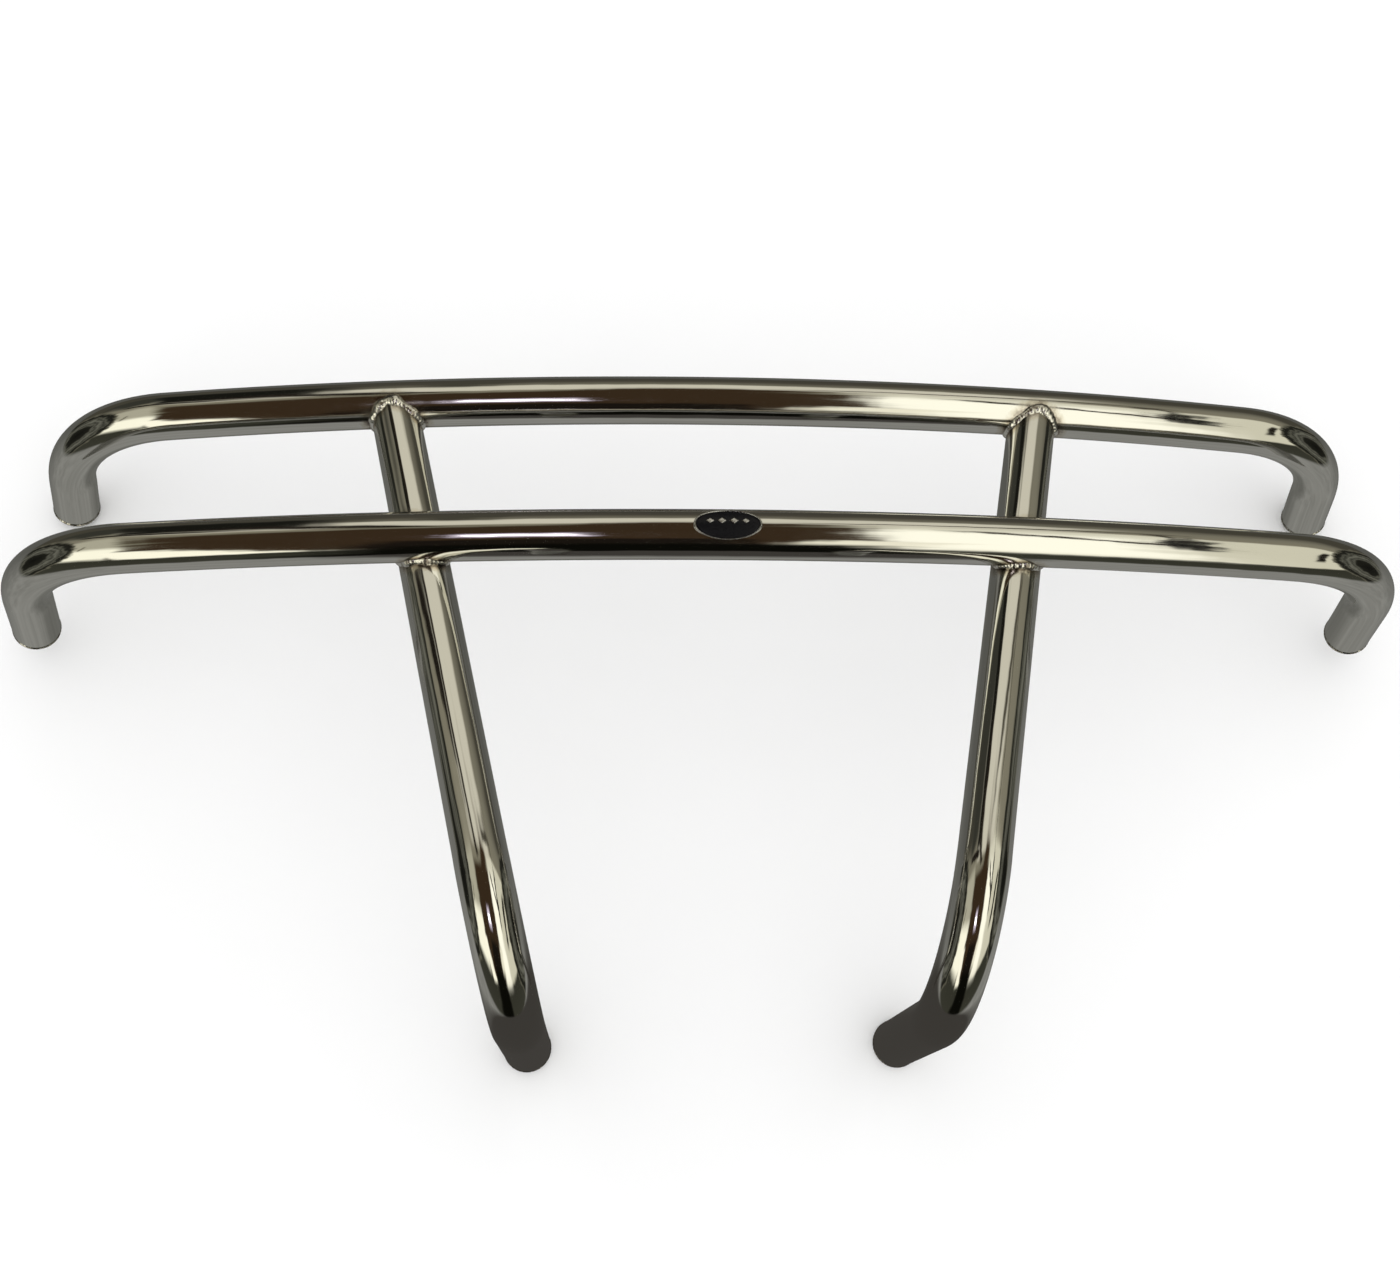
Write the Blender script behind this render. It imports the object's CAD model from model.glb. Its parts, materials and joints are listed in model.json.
"""The looks of a front grille guard of polished stainless tube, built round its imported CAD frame.

Lengths are metres. The tubes are worked out on vehicle axes, x across, y backwards and z up, from the
middle of the upper hoop, with the same driving dimensions as the CAD source. The record's foot mount
then says how the guard lies in the frame, on its back with its front face up.
"""

import json
import math

import bpy
import numpy as np
from mathutils import Matrix, Vector


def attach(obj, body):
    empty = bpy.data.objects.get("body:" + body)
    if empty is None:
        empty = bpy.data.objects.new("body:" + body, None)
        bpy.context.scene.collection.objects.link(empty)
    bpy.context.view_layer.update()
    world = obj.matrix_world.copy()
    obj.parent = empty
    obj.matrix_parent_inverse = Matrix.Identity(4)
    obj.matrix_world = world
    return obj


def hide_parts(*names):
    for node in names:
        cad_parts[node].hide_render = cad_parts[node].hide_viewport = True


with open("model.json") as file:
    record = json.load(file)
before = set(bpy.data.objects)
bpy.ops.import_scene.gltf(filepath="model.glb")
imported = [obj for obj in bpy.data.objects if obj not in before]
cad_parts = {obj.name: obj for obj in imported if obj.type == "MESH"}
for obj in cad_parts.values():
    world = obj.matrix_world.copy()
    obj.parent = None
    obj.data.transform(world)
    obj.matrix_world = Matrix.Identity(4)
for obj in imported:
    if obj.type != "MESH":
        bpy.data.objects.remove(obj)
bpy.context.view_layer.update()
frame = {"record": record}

# Tube stock. A bend flattens the tube a little towards its centre. A bow turns too little for that.
TUBE_RADIUS = 0.01905
TUBE_WALL = 0.0015
TUBE_SIDES = 80
STATION_STEP = 0.004
BEND_OVALITY = 0.015
OVALITY_RAMP = 0.012
LEAST_BEND_TURN = 0.5

# Hoops: a shallow bow, a bend at each end and a straight end.
BOW_RADIUS = 3.07
HOOP_BEND_RADIUS = 0.12
HOOP_END_HEADING = math.radians(78)
UPPER_HOOP = {"bend_start": 0.442, "end_straight": 0.05, "tilt": 0.0, "drop": 0.0}
LOWER_HOOP = {"bend_start": 0.452, "end_straight": 0.073, "tilt": math.radians(5.3), "drop": 0.139}

# Legs: inwards and a little forwards on the way down, then back to the feet.
LEG_TOP_X = 0.259
LEG_SETBACK_UPPER = 0.002
LEG_SETBACK_LOWER = 0.023
LEG_DOWN = Vector((-0.22, -0.06, -1)).normalized()
LEG_TO_CORNER = 0.503
LEG_BEND_RADIUS = 0.091
FOOT_DIRECTION = Vector((0, 1, 0.12)).normalized()
FOOT_STRAIGHT = 0.165
COPE_GAP = 0.0001

# Welds between tubes: a bead whose middle is sunk below the seam, rippled in uneven crescents.
BEAD_RADIUS = 0.0052
BEAD_SINK = 0.0026
BEAD_STEP = 0.0003
BEAD_SIDES = 32
RIPPLE_PITCH = 0.0034
RIPPLE_DEPTH = 0.05
RIPPLE_MEAN = 0.6
RIPPLE_LEAN = 1.1
RIPPLE_JITTER = 1.4
JITTER_WAVES = 9
BEAD_LUMPS = 0.2
LUMP_WAVES = 13
BEAD_SEED = 60
SEAM_SAMPLES = 2001

# Heat beside a seam: how far it reaches, and how many points of the seam it is measured from. Only the
# tube's points near every thirtieth of those are measured, a batch at a time.
HEAT_REACH = 0.015
HEAT_SEAM_POINTS = 90
HEAT_SEARCH = 0.06
HEAT_SEARCH_STEP = 30
HEAT_BATCH = 4000

# Tube ends: a plug that stands out a little, and the weld between its wall and the tube's rim.
PLUG_RADIUS = 0.0169
PLUG_STAND_OUT = 0.0026
PLUG_EDGE = 0.0006
CAP_DEPTH = 0.005
CAP_CROWN = 0.0004
END_RING_GAP = 0.0001
END_RING_PROUD = 0.00035
END_RING_INSET = 0.0002
END_RING_ROOT = 0.0008
END_RING_RIPPLES = 46
END_RING_LEAN = 1.2
END_RING_JITTER = 0.6
END_RING_DEPTH = 0.10
END_RING_LUMPS = 0.03
HOOP_RING_SEED = 20
FOOT_RING_SEED = 40
TURNED_SIDES = 128

# The feet's bolt holes. The thread has flat crests and fades out at both mouths.
FOOT_PLUG_DEPTH = 0.022
THREAD_RADIUS = 0.00425
THREAD_PITCH = 0.0015
THREAD_DEPTH = 0.0008
THREAD_STEEPNESS = 1.25
THREAD_FADE = 1.2
THREAD_ROWS = 8
BORE_CHAMFER = 0.0006

# Badge: an oval tray wrapped round the front of the lower hoop. A reach is a share of its half size,
# and a height is above the tube.
BADGE_HALF_WIDTH = 0.0255
BADGE_HALF_HEIGHT = 0.011
BADGE_TURN = math.radians(-7)
BADGE_SIDES = 160
BADGE_GAP = 0.00005
BADGE_TAPE = 0.0007
BADGE_TAPE_REACH = 0.93
BADGE_TRAY_FLOOR = BADGE_TAPE + 0.0007
BADGE_TOP = BADGE_TAPE + 0.002
BADGE_FACE_BACK = BADGE_TAPE + 0.00075
BADGE_FACE_EDGE = BADGE_TOP - 0.0004
BADGE_FACE_CROWN = 0.0007
BADGE_FACE_REACH = 0.93
ORNAMENT_OFFSET = 0.002

FULL_TURN = 2 * math.pi
ACROSS = Vector((1, 0, 0))
SHARP_EDGE = math.radians(35)


# ---------------------------------------------------------------- routes

def planar_route(segments):
    """Stations along straights and arcs in a plane, as columns of arrays.

    Each segment is (length, turn). A station has its place, its heading, its distance along and how
    far it is into a bend, from 0 to 1.
    """
    columns = [[0.0], [0.0], [0.0], [0.0]]
    bends = []
    for length, turn in segments:
        x, y, heading, travelled = (column[-1] for column in columns)
        if turn > LEAST_BEND_TURN:
            bends.append((travelled, travelled + length))
        steps = max(1, math.ceil(length / STATION_STEP))
        for i in range(1, steps + 1):
            share = i / steps
            angle = turn * share
            if turn:
                radius = length / turn
                dx = radius * (math.sin(heading + angle) - math.sin(heading))
                dy = radius * (math.cos(heading) - math.cos(heading + angle))
            else:
                dx = length * share * math.cos(heading)
                dy = length * share * math.sin(heading)
            station = (x + dx, y + dy, heading + angle, travelled + length * share)
            for column, value in zip(columns, station):
                column.append(value)
    x, y, heading, travelled = (np.array(column) for column in columns)
    bent = np.zeros(len(x))
    for start, end in bends:
        ramp_in = np.clip((travelled - start) / OVALITY_RAMP + 0.5, 0, 1)
        ramp_out = np.clip((end - travelled) / OVALITY_RAMP + 0.5, 0, 1)
        bent = np.maximum(bent, ramp_in * ramp_out)
    return {"x": x, "y": y, "heading": heading, "travelled": travelled, "bent": bent}


def both_sides(route):
    """A hoop's whole route from its right half."""
    signs = {"x": -1, "y": 1, "heading": -1, "travelled": -1, "bent": 1}
    return {key: np.concatenate([sign * route[key][:0:-1], route[key]]) for key, sign in signs.items()}


def bow_depth(x):
    return BOW_RADIUS - math.sqrt(BOW_RADIUS ** 2 - x ** 2)


def hoop_route(hoop):
    bend_heading = math.asin(hoop["bend_start"] / BOW_RADIUS)
    bend_turn = HOOP_END_HEADING - bend_heading
    half = planar_route([
        (BOW_RADIUS * bend_heading, bend_heading),
        (HOOP_BEND_RADIUS * bend_turn, bend_turn),
        (hoop["end_straight"], 0),
    ])
    return both_sides(half)


def leg_route():
    turn = LEG_DOWN.angle(FOOT_DIRECTION)
    return planar_route([
        (LEG_TO_CORNER - LEG_BEND_RADIUS * math.tan(turn / 2), 0),
        (LEG_BEND_RADIUS * turn, turn),
        (FOOT_STRAIGHT, 0),
    ])


class Run:
    """A tube's route in space: the points, tangents and inward normals, and the plane's normal."""

    def __init__(self, route, origin, ahead, aside, mirror=False):
        ahead, aside = np.array(ahead), np.array(aside)
        cosine = np.cos(route["heading"])[:, None]
        sine = np.sin(route["heading"])[:, None]
        self.points = np.array(origin) + route["x"][:, None] * ahead + route["y"][:, None] * aside
        self.tangents = cosine * ahead + sine * aside
        self.inward = cosine * aside - sine * ahead
        self.normal = np.cross(ahead, aside)
        self.travelled = route["travelled"]
        self.bent = route["bent"]
        if mirror:
            for rows in (self.points, self.tangents, self.inward):
                rows[:, 0] *= -1
            self.normal = self.normal * [-1, 1, 1]

    def end(self, sign):
        """The last section's middle and its outward direction, at the route's start (-1) or end (1)."""
        index = 0 if sign < 0 else -1
        return Vector(self.points[index]), Vector(self.tangents[index]) * sign


def hoop_run(hoop, middle):
    tilt = Matrix.Rotation(hoop["tilt"], 3, "X")
    return Run(hoop_route(hoop), middle, ACROSS, tilt @ Vector((0, 1, 0)))


def leg_run(top, mirror):
    axis = LEG_DOWN.cross(FOOT_DIRECTION).normalized()
    return Run(leg_route(), top, LEG_DOWN, axis.cross(LEG_DOWN), mirror)


def place_in_frame(right_leg):
    """The matrix from vehicle axes to the frame, from the right foot's mount."""
    mount = next(m for m in frame["record"]["mounts"] if m["name"] == "right_foot_face")
    axis = Vector(mount["axis"])
    turn = math.atan2(axis.z, axis.y) - math.atan2(FOOT_DIRECTION.z, FOOT_DIRECTION.y)
    rotation = Matrix.Rotation(turn, 4, "X")
    centre, outward = right_leg.end(1)
    face = rotation @ (centre + outward * PLUG_STAND_OUT)
    shift = Vector(mount["pos_m"]) - face
    return Matrix.Translation((0, shift.y, shift.z)) @ rotation


# ---------------------------------------------------------------- meshes

def grid_faces(rows, columns, first=0, flip=False, wrap_rows=False):
    """Quads over a grid of vertices whose columns wrap round."""
    last = rows if wrap_rows else rows - 1
    i, j = np.meshgrid(np.arange(last), np.arange(columns), indexing="ij")
    following = (i + 1) % rows
    beside = (j + 1) % columns
    here, there = i * columns, following * columns
    corners = [here + j, here + beside, there + beside, there + j]
    quads = np.stack([corner.ravel() for corner in corners], axis=1) + first
    return quads[:, ::-1] if flip else quads


def add_piece(name, points, faces, material, sharp_angle=None):
    """A mesh from points on vehicle axes, laid down into the frame."""
    mesh = bpy.data.meshes.new(name)
    laid = np.asarray(points) @ np.array(LYING.to_3x3()).T + np.array(LYING.translation)
    mesh.from_pydata(laid.tolist(), [], [list(map(int, face)) for face in faces])
    mesh.validate()
    mesh.shade_smooth()
    if sharp_angle is not None:
        mesh.set_sharp_from_angle(angle=sharp_angle)
    mesh.materials.append(material)
    piece = bpy.data.objects.new(name, mesh)
    bpy.context.scene.collection.objects.link(piece)
    return piece


def stand_for(piece, node):
    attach(piece, "root")
    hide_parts(node)


def set_vectors(piece, name, values):
    attribute = piece.data.attributes.new(name, "FLOAT_VECTOR", "POINT")
    attribute.data.foreach_set("vector", np.asarray(values, np.float32).ravel())


def set_values(piece, name, values):
    attribute = piece.data.attributes.new(name, "FLOAT", "POINT")
    attribute.data.foreach_set("value", np.asarray(values, np.float32).ravel())


# ---------------------------------------------------------------- tubes

def tube_skin(run, radius):
    """Points of one wall surface and their places on the straightened tube."""
    angles = np.linspace(0, FULL_TURN, TUBE_SIDES, endpoint=False)
    flattened = (radius * (1 - BEND_OVALITY * run.bent))[:, None, None]
    widened = (radius * (1 + BEND_OVALITY / 2 * run.bent))[:, None, None]
    towards = np.cos(angles)[None, :, None] * run.inward[:, None, :]
    aside = np.sin(angles)[None, :, None] * run.normal[None, None, :]
    points = run.points[:, None, :] + flattened * towards + widened * aside
    places = np.empty_like(points)
    places[..., 0] = radius * np.cos(angles)
    places[..., 1] = radius * np.sin(angles)
    places[..., 2] = run.travelled[:, None]
    return points.reshape(-1, 3), places.reshape(-1, 3)


def add_tube(name, run, heat):
    """A polished tube with its outer and inner wall, open at both ends."""
    outer, outer_places = tube_skin(run, TUBE_RADIUS)
    inner, inner_places = tube_skin(run, TUBE_RADIUS - TUBE_WALL)
    stations = len(run.points)
    first_inner = len(outer)
    mirrored = np.dot(np.cross(run.inward[0], run.normal), run.tangents[0]) < 0
    faces = [
        grid_faces(stations, TUBE_SIDES, flip=mirrored),
        grid_faces(stations, TUBE_SIDES, first=first_inner, flip=not mirrored),
    ]
    j = np.arange(TUBE_SIDES)
    beside = (j + 1) % TUBE_SIDES
    for start, flip in ((0, not mirrored), (first_inner - TUBE_SIDES, mirrored)):
        inside = first_inner + start
        rim = np.stack([start + j, start + beside, inside + beside, inside + j], axis=1)
        faces.append(rim[:, ::-1] if flip else rim)
    piece = add_piece(name, np.vstack([outer, inner]), np.vstack(faces), POLISHED)
    set_vectors(piece, "place", np.vstack([outer_places, inner_places]))
    set_values(piece, "scorch", heat(np.vstack([outer, inner])))
    return piece


def solid_rod(run, radius):
    """A filled tube, to cut the tubes that meet it with. It isn't kept."""
    skin, _ = tube_skin(run, radius)
    stations = len(run.points)
    mirrored = np.dot(np.cross(run.inward[0], run.normal), run.tangents[0]) < 0
    sides = grid_faces(stations, TUBE_SIDES, flip=mirrored).tolist()
    first = list(range(TUBE_SIDES))
    last = [(stations - 1) * TUBE_SIDES + j for j in range(TUBE_SIDES)]
    ends = [first if mirrored else first[::-1], last[::-1] if mirrored else last]
    return add_piece("cutter", skin, sides + ends, POLISHED)


def cope(piece, runs):
    """Cuts a tube to the shape of the tubes that it meets."""
    for run in runs:
        cutter = solid_rod(run, TUBE_RADIUS + COPE_GAP)
        modifier = piece.modifiers.new("cope", "BOOLEAN")
        modifier.operation = "DIFFERENCE"
        modifier.solver = "MANIFOLD"
        modifier.object = cutter
        graph = bpy.context.evaluated_depsgraph_get()
        cut = bpy.data.meshes.new_from_object(piece.evaluated_get(graph))
        piece.modifiers.clear()
        old = piece.data
        piece.data = cut
        bpy.data.meshes.remove(old)
        bpy.data.objects.remove(cutter)
    piece.data.name = piece.name
    piece.data.shade_smooth()
    piece.data.set_sharp_from_angle(angle=SHARP_EDGE)


# ---------------------------------------------------------------- joints

class Joint:
    """Where a leg meets a hoop, both taken as straight there: the feet of their common perpendicular."""

    def __init__(self, middle, hoop, leg_top):
        tilt = Matrix.Rotation(hoop["tilt"], 3, "X")
        x = leg_top.x + LEG_DOWN.x / LEG_DOWN.z * (middle.z - leg_top.z)
        heading = math.asin(x / BOW_RADIUS)
        self.along = tilt @ Vector((math.cos(heading), math.sin(heading), 0))
        on_hoop = tilt @ Vector((x, bow_depth(x), 0)) + middle
        back = LEG_DOWN.cross(self.along).normalized()
        self.back = back if back.y > 0 else -back
        between = leg_top - on_hoop
        self.setback = between.dot(self.back)
        between -= self.back * self.setback
        cosine = self.along.dot(LEG_DOWN)
        self.sine = math.sqrt(1 - cosine ** 2)
        travel = (between.dot(self.along) - cosine * between.dot(LEG_DOWN)) / self.sine ** 2
        self.hoop_foot = on_hoop + self.along * travel
        self.leg_foot = self.hoop_foot + self.back * self.setback

    def point(self, sideways, back, down):
        """A point that far sideways along the hoop, backwards, and down the leg."""
        slant = self.along * (sideways / self.sine) + LEG_DOWN * (down / self.sine)
        return self.hoop_foot + slant + self.back * back


def butt_seam(joint, turn):
    """The seam round a leg that butts under a hoop."""
    back = joint.setback - TUBE_RADIUS * math.cos(turn)
    down = math.sqrt(max(0.0, TUBE_RADIUS ** 2 - back ** 2))
    return joint.point(TUBE_RADIUS * math.sin(turn), back, down)


def saddle_seam(joint, turn):
    """The seam round the saddle that a hoop sits in."""
    widest = math.sqrt(TUBE_RADIUS ** 2 - (joint.setback - TUBE_RADIUS) ** 2)
    sideways = widest * math.sin(turn)
    back = joint.setback - math.sqrt(TUBE_RADIUS ** 2 - sideways ** 2)
    down = math.copysign(math.sqrt(max(0.0, TUBE_RADIUS ** 2 - back ** 2)), math.cos(turn))
    return joint.point(sideways, back, down)


def away_from(point, axis_point, axis):
    out = point - axis_point
    return (out - axis * out.dot(axis)).normalized()


def seam_line(joint, seam, count=None):
    """Evenly spaced points round a seam, the directions away from both tubes there, and its length."""
    turns = np.linspace(0, FULL_TURN, SEAM_SAMPLES)
    dense = np.array([seam(joint, turn) for turn in turns])
    travelled = np.concatenate([[0], np.cumsum(np.linalg.norm(np.diff(dense, axis=0), axis=1))])
    if count is None:
        count = round(travelled[-1] / BEAD_STEP)
    even = np.interp(np.linspace(0, travelled[-1], count, endpoint=False), travelled, turns)
    points = [seam(joint, turn) for turn in even]
    outs = [
        (away_from(p, joint.hoop_foot, joint.along) + away_from(p, joint.leg_foot, LEG_DOWN)).normalized()
        for p in points
    ]
    return np.array(points), np.array(outs), travelled[-1]


def uneven(travelled, length, rng, waves=5):
    """A smooth closed variation round a seam, about -1 to 1."""
    total = np.zeros_like(travelled)
    for wave in range(1, waves + 1):
        height = rng.uniform(-1, 1)
        phase = rng.uniform(0, FULL_TURN)
        total += height * np.sin(FULL_TURN * wave * travelled / length + phase)
    return total / math.sqrt(waves)


def add_bead(name, joint, seam, mirror, seed):
    """A rippled bead round a seam: crescents one ripple apart, wider here and narrower there."""
    rng = np.random.default_rng(seed)
    points, outs, length = seam_line(joint, seam)
    count = len(points)
    travelled = np.linspace(0, length, count, endpoint=False)
    middles = points - outs * BEAD_SINK
    tangents = np.roll(middles, -1, axis=0) - np.roll(middles, 1, axis=0)
    tangents /= np.linalg.norm(tangents, axis=1)[:, None]
    lifts = outs - np.sum(outs * tangents, axis=1)[:, None] * tangents
    lifts /= np.linalg.norm(lifts, axis=1)[:, None]
    sides = np.cross(tangents, lifts)
    angles = np.linspace(0, FULL_TURN, BEAD_SIDES, endpoint=False)
    ripples = round(length / RIPPLE_PITCH)
    crescent = RIPPLE_LEAN * np.sin(angles)[None, :] ** 2
    jitter = RIPPLE_JITTER * uneven(travelled, length, rng, JITTER_WAVES)[:, None]
    phase = math.pi * ripples * travelled[:, None] / length + crescent + jitter
    ripple = np.abs(np.sin(phase)) - RIPPLE_MEAN
    width = 1 + BEAD_LUMPS * uneven(travelled, length, rng, LUMP_WAVES)[:, None]
    radius = BEAD_RADIUS * (width + RIPPLE_DEPTH * ripple)
    ring = (
        np.cos(angles)[None, :, None] * lifts[:, None, :]
        + np.sin(angles)[None, :, None] * sides[:, None, :]
    )
    bead = (middles[:, None, :] + radius[..., None] * ring).reshape(-1, 3)
    if mirror:
        bead[:, 0] *= -1
    faces = grid_faces(count, BEAD_SIDES, flip=mirror, wrap_rows=True)
    return add_piece(name, bead, faces, WELD)


# ---------------------------------------------------------------- turned pieces

def frame_at(centre, outward):
    """Two directions across an end, its outward direction and its middle."""
    aside = ACROSS if abs(outward.x) < 0.9 else Vector((0, 0, 1))
    first = (aside - outward * aside.dot(outward)).normalized()
    return np.array(first), np.array(outward.cross(first)), np.array(outward), np.array(centre)


def turned_points(radii, heights, end):
    """Points of a turned surface from its profile, whose radius or height may vary with the angle."""
    first, second, outward, centre = frame_at(*end)
    angles = np.linspace(0, FULL_TURN, TURNED_SIDES, endpoint=False)
    shape = (len(radii), TURNED_SIDES)
    radii = np.broadcast_to(np.asarray(radii).reshape(len(radii), -1), shape)
    heights = np.broadcast_to(np.asarray(heights).reshape(len(heights), -1), shape)
    across = np.cos(angles)[None, :, None] * first + np.sin(angles)[None, :, None] * second
    points = centre + radii[..., None] * across + heights[..., None] * outward
    places = np.stack([radii * np.cos(angles), radii * np.sin(angles), heights], axis=-1)
    return points.reshape(-1, 3), places.reshape(-1, 3)


def rounded_edge(radius, height, edge, steps=6):
    """A profile's rounded corner from its wall to its face."""
    angles = np.linspace(0, math.pi / 2, steps)
    return [(radius - edge + edge * math.cos(a), height - edge + edge * math.sin(a)) for a in angles]


def add_cap(name, end):
    """A round plug with a softly crowned face, whose middle is one flat polygon."""
    profile = [(PLUG_RADIUS, -CAP_DEPTH), *rounded_edge(PLUG_RADIUS, PLUG_STAND_OUT, PLUG_EDGE)]
    flat = PLUG_RADIUS - PLUG_EDGE
    for share in (0.9, 0.75, 0.55, 0.35, 0.15):
        profile.append((flat * share, PLUG_STAND_OUT + CAP_CROWN * (1 - share ** 2) - CAP_CROWN))
    radii, heights = zip(*profile)
    points, places = turned_points(radii, heights, end)
    faces = grid_faces(len(profile), TURNED_SIDES).tolist()
    last = (len(profile) - 1) * TURNED_SIDES
    faces.append(list(range(TURNED_SIDES))[::-1])
    faces.append([last + j for j in range(TURNED_SIDES)])
    piece = add_piece(name, points, faces, POLISHED, SHARP_EDGE)
    set_vectors(piece, "place", places)
    set_values(piece, "scorch", np.zeros(len(points)))
    return piece


def add_end_ring(name, end, seed):
    """The weld round a tube's end: a quarter of an ellipse with ripples that lean round the tube."""
    rng = np.random.default_rng(seed)
    inner = PLUG_RADIUS + END_RING_GAP
    width = TUBE_RADIUS + END_RING_PROUD - inner
    height = PLUG_STAND_OUT - PLUG_EDGE
    angles = np.linspace(0, FULL_TURN, TURNED_SIDES, endpoint=False)
    swell = uneven(angles * TUBE_RADIUS, FULL_TURN * TUBE_RADIUS, rng)
    radii = [np.full(TURNED_SIDES, radius) for radius in (inner, TUBE_RADIUS - END_RING_INSET)]
    heights = [np.full(TURNED_SIDES, -END_RING_ROOT) for _ in radii]
    for rise in np.linspace(0, math.pi / 2, 9):
        lean = END_RING_LEAN * math.sin(rise) ** 2
        phase = END_RING_RIPPLES / 2 * angles + lean + END_RING_JITTER * swell
        crest = np.abs(np.sin(phase)) ** 0.7 - RIPPLE_MEAN
        ripple = 1 + END_RING_DEPTH * crest + END_RING_LUMPS * swell
        radii.append(inner + width * math.cos(rise) * ripple)
        heights.append(height * math.sin(rise) * ripple)
    points, _ = turned_points(np.array(radii), np.array(heights), end)
    faces = grid_faces(len(radii), TURNED_SIDES, wrap_rows=True)
    return add_piece(name, points, faces, WELD, math.radians(60))


def thread_radius(height, angles):
    """The radius of a threaded bore at a height: a sixty degree thread that fades at both mouths."""
    phase = (height / THREAD_PITCH + angles / FULL_TURN) % 1
    tooth = 1 - np.abs(2 * phase - 1)
    from_mouth = min(height + FOOT_PLUG_DEPTH, PLUG_STAND_OUT - height) / THREAD_PITCH
    fade = np.clip(THREAD_FADE - from_mouth, 0, 1)
    cut = np.clip(tooth * THREAD_STEEPNESS, 0, 1)
    return THREAD_RADIUS + THREAD_DEPTH * np.maximum(cut, fade)


def add_foot_plug(name, end):
    """A turned plug with a threaded bore right through it."""
    angles = np.linspace(0, FULL_TURN, TURNED_SIDES, endpoint=False)
    bore_mouth = THREAD_RADIUS + THREAD_DEPTH
    wall = [(bore_mouth, -FOOT_PLUG_DEPTH), (PLUG_RADIUS, -FOOT_PLUG_DEPTH)]
    wall += rounded_edge(PLUG_RADIUS, PLUG_STAND_OUT, PLUG_EDGE)
    wall.append((bore_mouth + BORE_CHAMFER, PLUG_STAND_OUT))
    radii = [np.full(TURNED_SIDES, radius) for radius, _ in wall]
    heights = [np.full(TURNED_SIDES, height) for _, height in wall]
    rows = round((FOOT_PLUG_DEPTH + PLUG_STAND_OUT) / THREAD_PITCH * THREAD_ROWS)
    for height in np.linspace(PLUG_STAND_OUT - 0.0004, -FOOT_PLUG_DEPTH + 0.0002, rows):
        radii.append(thread_radius(height, angles))
        heights.append(np.full(TURNED_SIDES, height))
    points, places = turned_points(np.array(radii), np.array(heights), end)
    faces = grid_faces(len(radii), TURNED_SIDES, wrap_rows=True)
    piece = add_piece(name, points, faces, PLUG, SHARP_EDGE)
    set_vectors(piece, "place", places)
    return piece


# ---------------------------------------------------------------- badge

def on_badge(across, around, height):
    """A point that far across and around the front of the lower hoop, and above its surface."""
    angle = BADGE_TURN + around / TUBE_RADIUS
    radius = TUBE_RADIUS + height
    y = bow_depth(across) - radius * math.cos(angle)
    return LOWER_MIDDLE + Vector((across, y, radius * math.sin(angle)))


def badge_layer(name, profile, material):
    """A closed oval layer from a profile of (reach, height), from the underside's middle to the top's."""
    angles = np.linspace(0, FULL_TURN, BADGE_SIDES, endpoint=False)
    points = [on_badge(0, 0, profile[0][1])]
    for reach, height in profile[1:-1]:
        for angle in angles:
            across = reach * BADGE_HALF_WIDTH * math.cos(angle)
            around = reach * BADGE_HALF_HEIGHT * math.sin(angle)
            points.append(on_badge(across, around, height))
    points.append(on_badge(0, 0, profile[-1][1]))
    rings = len(profile) - 2
    faces = grid_faces(rings, BADGE_SIDES, first=1).tolist()
    last = 1 + (rings - 1) * BADGE_SIDES
    for j in range(BADGE_SIDES):
        beside = (j + 1) % BADGE_SIDES
        faces.append([0, 1 + beside, 1 + j])
        faces.append([len(points) - 1, last + j, last + beside])
    return add_piece(name, points, faces, material, SHARP_EDGE)


def flat_rings(start, end, count, height):
    """Evenly spaced points of a badge layer's profile at one height."""
    return [(reach, height) for reach in np.linspace(start, end, count)]


def face_height(reach):
    """How high the badge's crowned face stands."""
    return BADGE_FACE_EDGE + BADGE_FACE_CROWN * (1 - (reach / BADGE_FACE_REACH) ** 2)


def add_badge_tape():
    back = flat_rings(0, BADGE_TAPE_REACH, 8, BADGE_GAP)
    front = flat_rings(BADGE_TAPE_REACH, 0, 8, BADGE_TAPE)
    return badge_layer("adhesive", back + front, TAPE)


def add_bezel():
    """A tray with a rounded rim, whose floor lies under the face."""
    foot = [(0.995, BADGE_TAPE + 0.0002), (1.0, BADGE_TAPE + 0.0006)]
    shoulder = [(0.997, BADGE_TOP - 0.0005), (0.985, BADGE_TOP - 0.00015)]
    crest = [(0.975, 0), (0.965, 0.00006), (0.955, 0), (0.945, -0.0002), (0.94, -0.0004)]
    profile = flat_rings(0, 0.975, 8, BADGE_TAPE) + foot + shoulder
    profile += [(reach, BADGE_TOP + rise) for reach, rise in crest]
    profile.append((0.935, BADGE_TRAY_FLOOR))
    profile += flat_rings(0.85, 0, 7, BADGE_TRAY_FLOOR)
    return badge_layer("bezel", profile, SILVER)


def add_badge_face():
    profile = flat_rings(0, 0.925, 8, BADGE_FACE_BACK)
    profile += [(BADGE_FACE_REACH, BADGE_FACE_EDGE - 0.0003), (0.928, BADGE_FACE_EDGE - 0.0001)]
    profile += [(reach, face_height(reach)) for reach in np.linspace(0.92, 0, 12)]
    return badge_layer("badge_dome", profile, BLACK)


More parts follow.
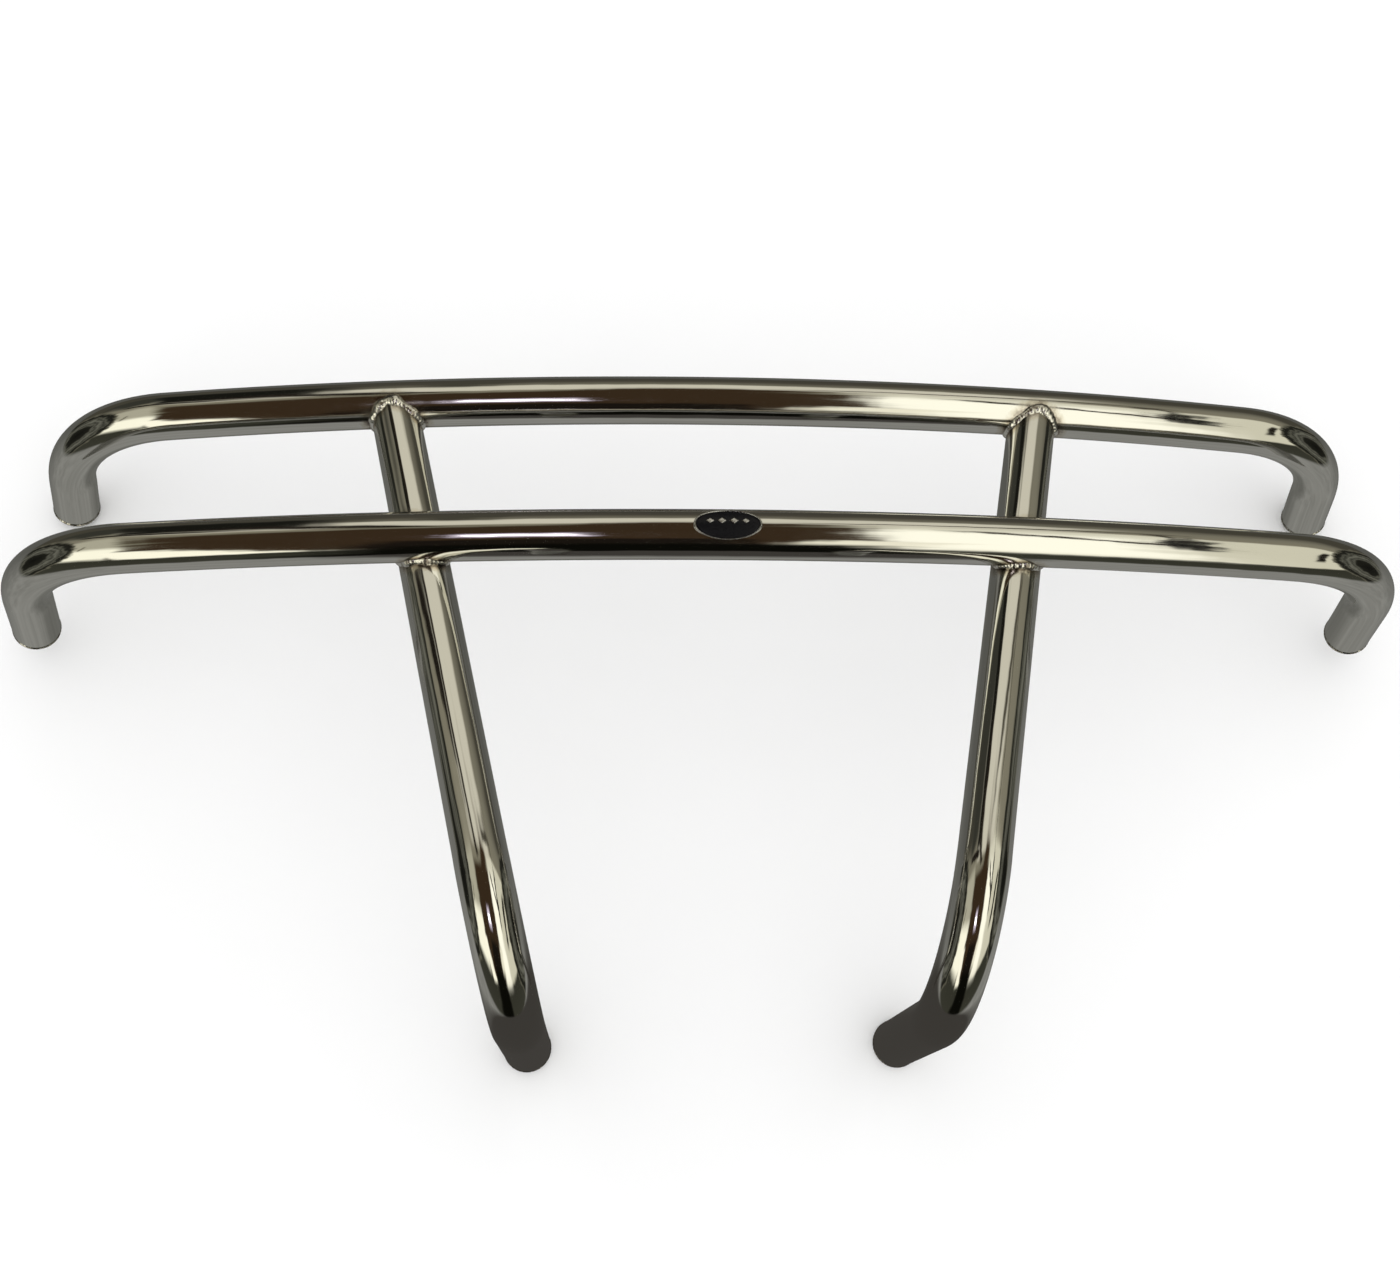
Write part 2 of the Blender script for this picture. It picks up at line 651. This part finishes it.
def add_ornament():
    """A plain row of raised lozenges on the badge's face, the same to the left and right."""
    points, faces = [], []
    lozenges = [(side * 0.0045, 0.0032, 0.0022) for side in (-1, 1)]
    lozenges += [(side * 0.0132, 0.0030, 0.0018) for side in (-1, 1)]
    for centre, half_width, half_height in lozenges:
        start = len(points)
        for share, rise in ((1.0, -0.00005), (1.0, 0.00012), (0.72, 0.0003)):
            for dx, dy in ((half_width, 0), (0, half_height), (-half_width, 0), (0, -half_height)):
                across = centre + dx * share
                around = ORNAMENT_OFFSET + dy * share
                reach = math.hypot(across / BADGE_HALF_WIDTH, around / BADGE_HALF_HEIGHT)
                points.append(on_badge(across, around, face_height(reach) + rise))
        faces += grid_faces(3, 4, first=start).tolist()
        faces += [[start + 3, start + 2, start + 1, start], [start + 8 + k for k in range(4)]]
    return add_piece("badge_ornament", points, faces, SILVER, math.radians(20))


# ---------------------------------------------------------------- materials

# The sockets of a Mix node for colours: its share, its two colours and its result.
MIX_SHARE = 0
MIX_FIRST = 6
MIX_SECOND = 7
MIX_RESULT = 2
# The sockets of a Map Range node for vectors: its vector, the range mapped from and its result.
RANGE_VECTOR = 6
RANGE_LOW = 7
RANGE_HIGH = 8
RANGE_RESULT = 1


class Shading:
    """A material's or world's node tree, with short ways to add and join nodes."""

    def __init__(self, owner):
        owner.use_nodes = True
        self.owner = owner
        self.tree = owner.node_tree

    def add(self, kind, settings=None, **sockets):
        """A node with its settings, and with values or links on the sockets named."""
        node = self.tree.nodes.new(kind)
        for key, value in (settings or {}).items():
            setattr(node, key, value)
        for key, value in sockets.items():
            self.put(node.inputs[key.replace("_", " ")], value)
        return node

    def put(self, socket, value):
        if isinstance(value, bpy.types.NodeSocket):
            self.tree.links.new(value, socket)
        else:
            socket.default_value = value

    def finish(self, **sockets):
        """Sets the sockets of a material's surface and hands the material back."""
        surface = self.tree.nodes["Principled BSDF"]
        for key, value in sockets.items():
            self.put(surface.inputs[key.replace("_", " ")], value)
        return self.owner

    def attribute(self, name, output):
        return self.add("ShaderNodeAttribute", {"attribute_name": name}).outputs[output]

    def object_place(self):
        return self.add("ShaderNodeTexCoord").outputs["Object"]

    def stretched(self, vector, scale):
        mapping = self.add("ShaderNodeMapping", {"vector_type": "POINT"}, Vector=vector, Scale=scale)
        return mapping.outputs[0]

    def noise(self, vector, scale, detail=2.0, roughness=0.5):
        sockets = {"Vector": vector, "Scale": scale, "Detail": detail, "Roughness": roughness}
        return self.add("ShaderNodeTexNoise", **sockets).outputs["Fac"]

    def remap(self, value, low, high, to_low, to_high):
        node = self.add("ShaderNodeMapRange", Value=value)
        node.inputs["From Min"].default_value = low
        node.inputs["From Max"].default_value = high
        node.inputs["To Min"].default_value = to_low
        node.inputs["To Max"].default_value = to_high
        return node.outputs[0]

    def ramp(self, value, stops):
        node = self.add("ShaderNodeValToRGB", Fac=value)
        elements = node.color_ramp.elements
        while len(elements) < len(stops):
            elements.new(0.5)
        for element, (place, colour) in zip(elements, stops):
            element.position = place
            element.color = (*colour, 1)
        return node.outputs["Color"]

    def blend(self, share, first, second):
        node = self.add("ShaderNodeMix", {"data_type": "RGBA"})
        for socket, value in ((MIX_SHARE, share), (MIX_FIRST, first), (MIX_SECOND, second)):
            self.put(node.inputs[socket], value)
        return node.outputs[MIX_RESULT]

    def bump(self, height, strength, distance, normal=None):
        node = self.add("ShaderNodeBump", Height=height, Strength=strength, Distance=distance)
        if normal is not None:
            self.put(node.inputs["Normal"], normal)
        return node.outputs[0]

    def math(self, operation, first, second=0.5):
        node = self.add("ShaderNodeMath", {"operation": operation})
        self.put(node.inputs[0], first)
        self.put(node.inputs[1], second)
        return node.outputs[0]


def new_material(name):
    return Shading(bpy.data.materials.new(name))


# Stainless steel, from untouched through straw and brown to scale as the heat rises to 1.
HEAT_COLOURS = [
    (0.0, (0.79, 0.78, 0.75)),
    (0.3, (0.79, 0.78, 0.75)),
    (0.55, (0.68, 0.64, 0.57)),
    (0.8, (0.34, 0.30, 0.26)),
    (1.0, (0.10, 0.09, 0.085)),
]
LATHE_PITCH = 0.00035


def polished_material():
    """Mirror-polished tube: fine lines along it, faint waves, haze, and heat tint beside the welds."""
    shading = new_material("polished_stainless")
    place = shading.attribute("place", "Vector")
    heat = shading.attribute("scorch", "Fac")
    lines = shading.noise(shading.stretched(place, (900, 900, 9)), 1.0, 3)
    haze = shading.noise(place, 28.0, 4, 0.6)
    waves = shading.noise(shading.stretched(place, (45, 45, 16)), 1.0, 2)
    patches = shading.remap(shading.noise(place, 160.0, 3, 0.6), 0.35, 0.65, -0.2, 0.2)
    burnt = shading.math("MULTIPLY", shading.math("ADD", patches, 1.0), heat)
    hazy = shading.remap(haze, 0.35, 0.75, 0.03, 0.07)
    lined = shading.remap(lines, 0.3, 0.7, 0, 0.03)
    scaly = shading.math("MULTIPLY", burnt, 0.14)
    rough = shading.math("ADD", shading.math("ADD", hazy, lined), scaly)
    tint = shading.ramp(burnt, HEAT_COLOURS)
    normal = shading.bump(waves, 0.9, 0.0004)
    normal = shading.bump(lines, 0.05, 0.0001, normal)
    return shading.finish(Base_Color=tint, Metallic=1.0, Roughness=rough, Normal=normal)


def weld_material():
    """Polished weld metal, brown in the patches that the wheel missed."""
    shading = new_material("weld_metal")
    where = shading.object_place()
    patches = shading.noise(where, 210.0, 3)
    lumps = shading.noise(where, 420.0, 2)
    colour = shading.ramp(patches, [(0.36, (0.34, 0.30, 0.26)), (0.48, (0.88, 0.86, 0.82))])
    rough = shading.remap(patches, 0.3, 0.6, 0.3, 0.13)
    normal = shading.bump(lumps, 0.7, 0.0006)
    return shading.finish(Base_Color=colour, Metallic=1.0, Roughness=rough, Normal=normal)


def plug_material():
    """Turned steel with fine rings from the lathe."""
    shading = new_material("plug_steel")
    place = shading.attribute("place", "Vector")
    flat = shading.add("ShaderNodeVectorMath", {"operation": "MULTIPLY"})
    shading.put(flat.inputs[0], place)
    flat.inputs[1].default_value = (1, 1, 0)
    reach = shading.add("ShaderNodeVectorMath", {"operation": "LENGTH"})
    shading.put(reach.inputs[0], flat.outputs[0])
    phase = shading.math("MULTIPLY", reach.outputs["Value"], FULL_TURN / LATHE_PITCH)
    rings = shading.math("SINE", phase)
    grain = shading.noise(place, 900.0, 3)
    colour = shading.ramp(grain, [(0.3, (0.44, 0.44, 0.43)), (0.7, (0.6, 0.6, 0.58))])
    rough = shading.remap(grain, 0.3, 0.7, 0.28, 0.42)
    normal = shading.bump(rings, 0.15, 0.00004)
    return shading.finish(Base_Color=colour, Metallic=1.0, Roughness=rough, Normal=normal)


def silver_material():
    """The badge's satin silver."""
    shading = new_material("badge_silver")
    where = shading.object_place()
    grain = shading.noise(where, 900.0, 3)
    colour = shading.ramp(grain, [(0.3, (0.5, 0.5, 0.5)), (0.7, (0.62, 0.62, 0.63))])
    rough = shading.remap(grain, 0.3, 0.7, 0.2, 0.32)
    return shading.finish(Base_Color=colour, Metallic=1.0, Roughness=rough)


def black_material():
    """The badge's black face, with a little dust."""
    shading = new_material("badge_black")
    where = shading.object_place()
    dust = shading.noise(where, 1500.0, 4, 0.7)
    colour = shading.ramp(dust, [(0.5, (0.004, 0.004, 0.005)), (0.8, (0.015, 0.015, 0.015))])
    rough = shading.remap(dust, 0.4, 0.8, 0.25, 0.45)
    return shading.finish(Base_Color=colour, Roughness=rough, IOR=1.25)


def tape_material():
    """The badge's black foam tape."""
    shading = new_material("badge_tape")
    where = shading.object_place()
    cells = shading.noise(where, 3500.0, 2)
    colour = shading.ramp(cells, [(0.3, (0.02, 0.02, 0.02)), (0.7, (0.06, 0.06, 0.06))])
    return shading.finish(Base_Color=colour, Roughness=0.9, Normal=shading.bump(cells, 0.6, 0.0001))


POLISHED = polished_material()
WELD = weld_material()
PLUG = plug_material()
SILVER = silver_material()
BLACK = black_material()
TAPE = tape_material()


# ---------------------------------------------------------------- the guard

UPPER_MIDDLE = Vector((0, 0, 0))
LEG_TOP = Vector((LEG_TOP_X, bow_depth(LEG_TOP_X) + LEG_SETBACK_UPPER, 0))
CROSSING = LEG_TOP + LEG_DOWN * (LOWER_HOOP["drop"] / -LEG_DOWN.z)
LOWER_MIDDLE = Vector((0, CROSSING.y - LEG_SETBACK_LOWER - bow_depth(CROSSING.x), -LOWER_HOOP["drop"]))

HOOPS = {
    "upper": (UPPER_HOOP, UPPER_MIDDLE, butt_seam),
    "lower": (LOWER_HOOP, LOWER_MIDDLE, saddle_seam),
}
HOOP_RUNS = {level: hoop_run(hoop, middle) for level, (hoop, middle, _) in HOOPS.items()}
LEG_RUNS = {side: leg_run(LEG_TOP, side == "left") for side in ("left", "right")}
LYING = place_in_frame(LEG_RUNS["right"])
JOINTS = {level: Joint(middle, hoop, LEG_TOP) for level, (hoop, middle, _) in HOOPS.items()}


def seam_heat(levels):
    """How strongly welding has tinted each point: 1 at a seam, 0 from HEAT_REACH on."""
    seams = []
    for level in levels:
        line, _, _ = seam_line(JOINTS[level], HOOPS[level][2], HEAT_SEAM_POINTS)
        seams += [line, line * [-1, 1, 1]]
    seams = np.vstack(seams)

    def distance(points, marks):
        return np.min(np.linalg.norm(points[:, None, :] - marks[None, :, :], axis=2), axis=1)

    def heat(points):
        tint = np.zeros(len(points))
        near = np.where(distance(points, seams[::HEAT_SEARCH_STEP]) < HEAT_SEARCH)[0]
        for start in range(0, len(near), HEAT_BATCH):
            rows = near[start:start + HEAT_BATCH]
            tint[rows] = np.clip(1 - distance(points[rows], seams) / HEAT_REACH, 0, 1)
        return tint

    return heat


def build_guard():
    for number, (level, run) in enumerate(HOOP_RUNS.items()):
        hoop = add_tube(f"{level}_hoop_tube", run, seam_heat([level]))
        stand_for(hoop, f"{level}_hoop")
        for side, sign in (("left", -1), ("right", 1)):
            end = run.end(sign)
            cap = add_cap(f"{level}_cap_{side}", end)
            stand_for(cap, f"{level}_hoop_cap_{side}")
            ring = add_end_ring(f"{level}_end_bead_{side}", end, HOOP_RING_SEED + 2 * number + sign)
            stand_for(ring, f"{level}_hoop_end_weld_{side}")
    for number, (side, run) in enumerate(LEG_RUNS.items()):
        leg = add_tube(f"{side}_leg_tube", run, seam_heat(["upper", "lower"]))
        cope(leg, HOOP_RUNS.values())
        stand_for(leg, f"{side}_leg")
        end = run.end(1)
        stand_for(add_foot_plug(f"{side}_foot_insert", end), f"{side}_foot_plug")
        ring = add_end_ring(f"{side}_foot_bead", end, FOOT_RING_SEED + number)
        stand_for(ring, f"{side}_foot_end_weld")
        for level, (_, _, seam) in HOOPS.items():
            seed = BEAD_SEED + 2 * number + len(level)
            bead = add_bead(f"{level}_bead_{side}", JOINTS[level], seam, side == "left", seed)
            stand_for(bead, f"weld_{level}_{side}")
    stand_for(add_badge_tape(), "badge_adhesive")
    stand_for(add_bezel(), "badge_bezel")
    stand_for(add_badge_face(), "badge_face")
    ornament = add_ornament()
    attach(ornament, "root")


# ---------------------------------------------------------------- studio

CAMERA_TARGET = Vector((-0.0196, 0, -0.21078))
CAMERA_DISTANCE = 1.18873
CAMERA_ELEVATION = math.radians(-26.288)
CAMERA_AZIMUTH = math.radians(-4.007)
CAMERA_ROLL = math.radians(-1.533)
CAMERA_LENS = 41.14
SENSOR_WIDTH = 36

FLOOR_HALF_SIZE = 8.0
FLOOR_LIGHT = 1.2
# A dark oval on the floor, and the share of its reach over which it fades out.
FLAG_MIDDLE = Vector((0, -0.68, 0.0005))
FLAG_HALF_WIDTH = 0.5
FLAG_HALF_DEPTH = 0.62
FLAG_SIDES = 48
FLAG_EDGE = 0.2
FLAG_COLOUR = (0.042, 0.039, 0.035)


def add_camera():
    """On vehicle axes it looks from in front and from below: over the feet of the guard as it lies."""
    back = Vector((
        math.sin(CAMERA_AZIMUTH) * math.cos(CAMERA_ELEVATION),
        -math.cos(CAMERA_AZIMUTH) * math.cos(CAMERA_ELEVATION),
        math.sin(CAMERA_ELEVATION),
    ))
    right = (-back).cross(Vector((0, 0, 1))).normalized()
    up = right.cross(-back)
    basis = Matrix((right, up, back)).transposed() @ Matrix.Rotation(CAMERA_ROLL, 3, "Z")
    data = bpy.data.cameras.new("camera")
    data.sensor_width = SENSOR_WIDTH
    data.lens = CAMERA_LENS
    camera = bpy.data.objects.new("camera", data)
    bpy.context.scene.collection.objects.link(camera)
    place = Matrix.Translation(CAMERA_TARGET + back * CAMERA_DISTANCE)
    camera.matrix_world = LYING @ place @ basis.to_4x4()
    bpy.context.scene.camera = camera


def add_floor():
    """A plain pale floor, which the metal doesn't mirror."""
    shading = new_material("floor")
    where = shading.object_place()
    tone = shading.ramp(shading.noise(where, 3.0), [(0.3, (0.9, 0.9, 0.9)), (0.7, (0.92, 0.92, 0.92))])
    shading.finish(Base_Color=tone, Roughness=0.9)
    half = FLOOR_HALF_SIZE
    corners = [(-half, -half, 0), (half, -half, 0), (half, half, 0), (-half, half, 0)]
    mesh = bpy.data.meshes.new("floor")
    mesh.from_pydata(corners, [], [(0, 1, 2, 3)])
    mesh.materials.append(shading.owner)
    floor = bpy.data.objects.new("floor", mesh)
    bpy.context.scene.collection.objects.link(floor)
    floor.visible_glossy = False


def add_flag():
    """A dark oval under and before the feet, like a person's shadow, that only the metal mirrors."""
    mesh = bpy.data.meshes.new("flag")
    angles = np.linspace(0, FULL_TURN, FLAG_SIDES, endpoint=False)
    points = [(FLAG_HALF_WIDTH * math.cos(a), FLAG_HALF_DEPTH * math.sin(a), 0) for a in angles]
    mesh.from_pydata(points, [], [list(range(FLAG_SIDES))])
    shading = new_material("flag")
    where = shading.object_place()
    oval = shading.stretched(where, (1 / FLAG_HALF_WIDTH, 1 / FLAG_HALF_DEPTH, 1))
    reach = shading.add("ShaderNodeVectorMath", {"operation": "LENGTH"})
    shading.put(reach.inputs[0], oval)
    share = shading.remap(reach.outputs["Value"], 1 - FLAG_EDGE, 1, 1, 0)
    clear = shading.add("ShaderNodeBsdfTransparent")
    glow = shading.add("ShaderNodeEmission", Color=(*FLAG_COLOUR, 1), Strength=1 / MIRROR_SHARE)
    mix = shading.add("ShaderNodeMixShader")
    for socket, value in zip(mix.inputs, (share, clear.outputs[0], glow.outputs[0])):
        shading.put(socket, value)
    shading.put(shading.tree.nodes["Material Output"].inputs["Surface"], mix.outputs[0])
    mesh.materials.append(shading.owner)
    flag = bpy.data.objects.new("flag", mesh)
    flag.location = FLAG_MIDDLE
    bpy.context.scene.collection.objects.link(flag)
    flag.visible_camera = False
    flag.visible_diffuse = False
    flag.visible_shadow = False


# What the polished tube mirrors. The metal gives MIRROR_SHARE of it back, so it is lit that much more.
# "Side" is the angle from the middle plane towards the right, and "over" the angle over the top from
# the far horizon, 0, to the near one, 180. All are degrees.
MIRROR_SHARE = 0.78
# A stop of the sky: over and colour.
SKY = [
    (-40, (0.035, 0.035, 0.03)),
    (10, (0.055, 0.05, 0.038)),
    (35, (0.17, 0.16, 0.12)),
    (60, (0.20, 0.185, 0.135)),
    (90, (0.14, 0.13, 0.09)),
    (150, (0.10, 0.10, 0.07)),
    (166, (0.03, 0.03, 0.022)),
    (220, (0.04, 0.04, 0.03)),
]
# A card: side, over, twist, half width, half height, softness across, softness along and colour.
CARDS = [
    (-44, -2, 0, 16, 19, 4, 8, (0.05, 0.047, 0.035)),
    (44, -2, 0, 16, 19, 4, 8, (0.05, 0.047, 0.035)),
    (-47, 92, 0, 16, 30, 3, 8, (0.38, 0.365, 0.28)),
    (-45, 138, 0, 17, 25, 3, 9, (0.95, 0.93, 0.76)),
    (42, 112, 0, 18, 53, 2, 4, (0.58, 0.56, 0.44)),
    (26, 112, 0, 11, 53, 4, 4, (0.62, 0.60, 0.48)),
    (24, 120, 0, 9, 44, 3, 12, (1.0, 0.98, 0.83)),
    (-31, 24, 0, 17, 17, 6, 6, (0.032, 0.032, 0.025)),
    (0, 48, 0, 27, 13, 4, 3, (0.54, 0.515, 0.42)),
    (-21, 31, 8, 6, 20, 2, 4, (0.008, 0.008, 0.006)),
    (-7, 22, 4, 2, 16, 1.5, 6, (0.05, 0.047, 0.035)),
    (-34, 50, 28, 14, 3.2, 4, 1.5, (0.010, 0.008, 0.006)),
    (22, 51, -20, 10, 1.8, 4, 1.2, (0.05, 0.045, 0.032)),
    (-17, 54, -21, 3.2, 14, 2, 3, (0.014, 0.011, 0.008)),
    (4, 68, 22, 7, 12, 3, 5, (0.034, 0.021, 0.011)),
    (-6.5, 117, 0, 22.5, 45, 2, 4, (0.034, 0.021, 0.011)),
    (-25, 151, -19, 5, 18, 1.5, 3, (0.98, 0.95, 0.78)),
    (14.5, 150, 9, 3.5, 18, 1.5, 4, (0.80, 0.77, 0.62)),
    (-2, 150, 0, 11, 20, 2, 5, (0.009, 0.007, 0.005)),
    (2, 178, 0, 14, 24, 3, 6, (0.003, 0.003, 0.002)),
    (-5.5, 112, 0, 4, 7.5, 1.2, 4, (0.7, 0.62, 0.75)),
    (-5.5, 113, 0, 3.2, 3, 1, 1.8, (3.0, 2.9, 3.1)),
    (29, 88, -27, 1.8, 17, 1, 4, (0.02, 0.014, 0.01)),
    (35.6, 92, 0, 1.6, 24, 0.5, 6, (0.002, 0.002, 0.002)),
    (34, 62, -4, 0.6, 16, 0.4, 6, (0.01, 0.008, 0.006)),
    (52, 106, 8, 3, 26, 1.2, 8, (0.012, 0.010, 0.007)),
    (-49, 103, 12, 0.9, 10, 0.6, 3, (0.10, 0.09, 0.06)),
]
# A stop of the rings round the ends of the room: how far to the side, and the colour.
RINGS = [
    (57, (0.12, 0.115, 0.085)),
    (60, (0.012, 0.012, 0.009)),
    (63, (0.014, 0.014, 0.011)),
    (65, (0.09, 0.09, 0.07)),
    (67, (0.03, 0.03, 0.024)),
    (70, (0.13, 0.13, 0.105)),
    (73, (0.035, 0.035, 0.028)),
    (75, (0.09, 0.09, 0.072)),
    (78, (0.012, 0.012, 0.009)),
    (90, (0.006, 0.006, 0.005)),
]
RINGS_FROM = 56.5
RINGS_TO = 90
# How far noise shifts the rings and the cards, and the noise's own scale.
RINGS_WOBBLE = 11
RINGS_WOBBLE_SCALE = 8.0
CARDS_WOBBLE = 5
CARDS_WOBBLE_SCALE = 6.0
# The ground on the far side, on the near side and straight below, and the streaks on it.
GROUND_FAR = (0.09, 0.09, 0.082)
GROUND_NEAR = (0.225, 0.225, 0.21)
GROUND_BELOW = (0.12, 0.12, 0.11)
GROUND_STREAK = (0.07, 0.07, 0.062)
# Where one turns into the next, by the direction's y for near and far, and by its z for the others.
NEAR_TO_FAR = (-0.3, 0.5)
BELOW_TO_GROUND = (-0.995, -0.93)
ROOM_TO_GROUND = (-0.24, -0.32)


def card_mask(shading, where, side, over, twist, half_side, half_over, soft_side, soft_over):
    """1 inside a soft-edged card and 0 outside."""
    local = shading.add(
        "ShaderNodeMapping",
        {"vector_type": "TEXTURE"},
        Vector=where,
        Location=(side, over, 0),
        Rotation=(0, 0, math.radians(twist)),
    )
    away = shading.add("ShaderNodeVectorMath", {"operation": "ABSOLUTE"})
    shading.put(away.inputs[0], local.outputs[0])
    smooth = {"data_type": "FLOAT_VECTOR", "interpolation_type": "SMOOTHSTEP"}
    edges = shading.add("ShaderNodeMapRange", smooth)
    shading.put(edges.inputs[RANGE_VECTOR], away.outputs[0])
    shading.put(edges.inputs[RANGE_LOW], (half_side + soft_side, half_over + soft_over, 1))
    shading.put(edges.inputs[RANGE_HIGH], (half_side - soft_side, half_over - soft_over, 0))
    inside = shading.add("ShaderNodeSeparateXYZ", Vector=edges.outputs[RANGE_RESULT])
    return shading.math("MULTIPLY", inside.outputs["X"], inside.outputs["Y"])


def room_angles(shading, x, y, z):
    """A direction's side and over, in degrees."""
    side = shading.math("MULTIPLY", shading.math("ARCSINE", x), math.degrees(1))
    turn = shading.math("ARCTAN2", shading.math("MULTIPLY", y, -1.0), z)
    over = shading.math("ADD", shading.math("MULTIPLY", turn, math.degrees(1)), 90.0)
    return side, over


def add_cards(shading, room, direction, side, over):
    """The room with its cards, whose edges waver."""
    noise = shading.add("ShaderNodeTexNoise", Vector=direction, Scale=CARDS_WOBBLE_SCALE)
    wobble = shading.add("ShaderNodeVectorMath", {"operation": "MULTIPLY_ADD"})
    place = shading.add("ShaderNodeCombineXYZ", X=side, Y=over)
    wobbled = (noise.outputs["Color"], (CARDS_WOBBLE, CARDS_WOBBLE, 0), place.outputs[0])
    for socket, value in zip(wobble.inputs, wobbled):
        shading.put(socket, value)
    for *card, colour in CARDS:
        room = shading.blend(card_mask(shading, wobble.outputs[0], *card), room, (*colour, 1))
    return room


def add_rings(shading, room, direction, side):
    """The room with the wavering rings round its two ends."""
    noise = shading.noise(direction, RINGS_WOBBLE_SCALE, 3)
    wobble = shading.remap(noise, 0, 1, -RINGS_WOBBLE / 2, RINGS_WOBBLE / 2)
    aside = shading.math("ADD", shading.math("ABSOLUTE", side), wobble)
    stops = [((stop - RINGS_FROM) / (RINGS_TO - RINGS_FROM), colour) for stop, colour in RINGS]
    rings = shading.ramp(shading.remap(aside, RINGS_FROM, RINGS_TO, 0, 1), stops)
    return shading.blend(shading.remap(aside, RINGS_FROM - 1, RINGS_FROM + 1, 0, 1), room, rings)


def ground_colour(shading, direction, y, z):
    near_to_far = shading.remap(y, *NEAR_TO_FAR, 0, 1)
    ground = shading.blend(near_to_far, (*GROUND_NEAR, 1), (*GROUND_FAR, 1))
    ground = shading.blend(shading.remap(z, *BELOW_TO_GROUND, 1, 0), ground, (*GROUND_BELOW, 1))
    streaks = shading.remap(shading.noise(direction, 9.0, 4, 0.6), 0.35, 0.65, 0, 0.3)
    return shading.blend(streaks, ground, (*GROUND_STREAK, 1))


def mirrored_room(shading):
    """The colour that the metal mirrors from each direction."""
    direction = shading.add("ShaderNodeTexCoord").outputs["Generated"]
    x, y, z = shading.add("ShaderNodeSeparateXYZ", Vector=direction).outputs
    side, over = room_angles(shading, x, y, z)
    low, high = SKY[0][0], SKY[-1][0]
    stops = [((stop - low) / (high - low), colour) for stop, colour in SKY]
    room = shading.ramp(shading.remap(over, low, high, 0, 1), stops)
    room = add_cards(shading, room, direction, side, over)
    room = add_rings(shading, room, direction, side)
    ground = ground_colour(shading, direction, y, z)
    return shading.blend(shading.remap(z, *ROOM_TO_GROUND, 0, 1), room, ground)


def add_world():
    """Even white light for the floor, and the mirrored room for the metal."""
    world = bpy.data.worlds.new("studio")
    bpy.context.scene.world = world
    shading = Shading(world)
    world.cycles.sampling_method = "NONE"
    ray = shading.add("ShaderNodeLightPath").outputs["Is Glossy Ray"]
    colour = shading.blend(ray, (1, 1, 1, 1), mirrored_room(shading))
    strength = shading.remap(ray, 0, 1, FLOOR_LIGHT, 1 / MIRROR_SHARE)
    background = world.node_tree.nodes["Background"]
    shading.put(background.inputs["Color"], colour)
    shading.put(background.inputs["Strength"], strength)
    bpy.context.scene.view_settings.view_transform = "Standard"


build_guard()
add_camera()
add_floor()
add_flag()
add_world()
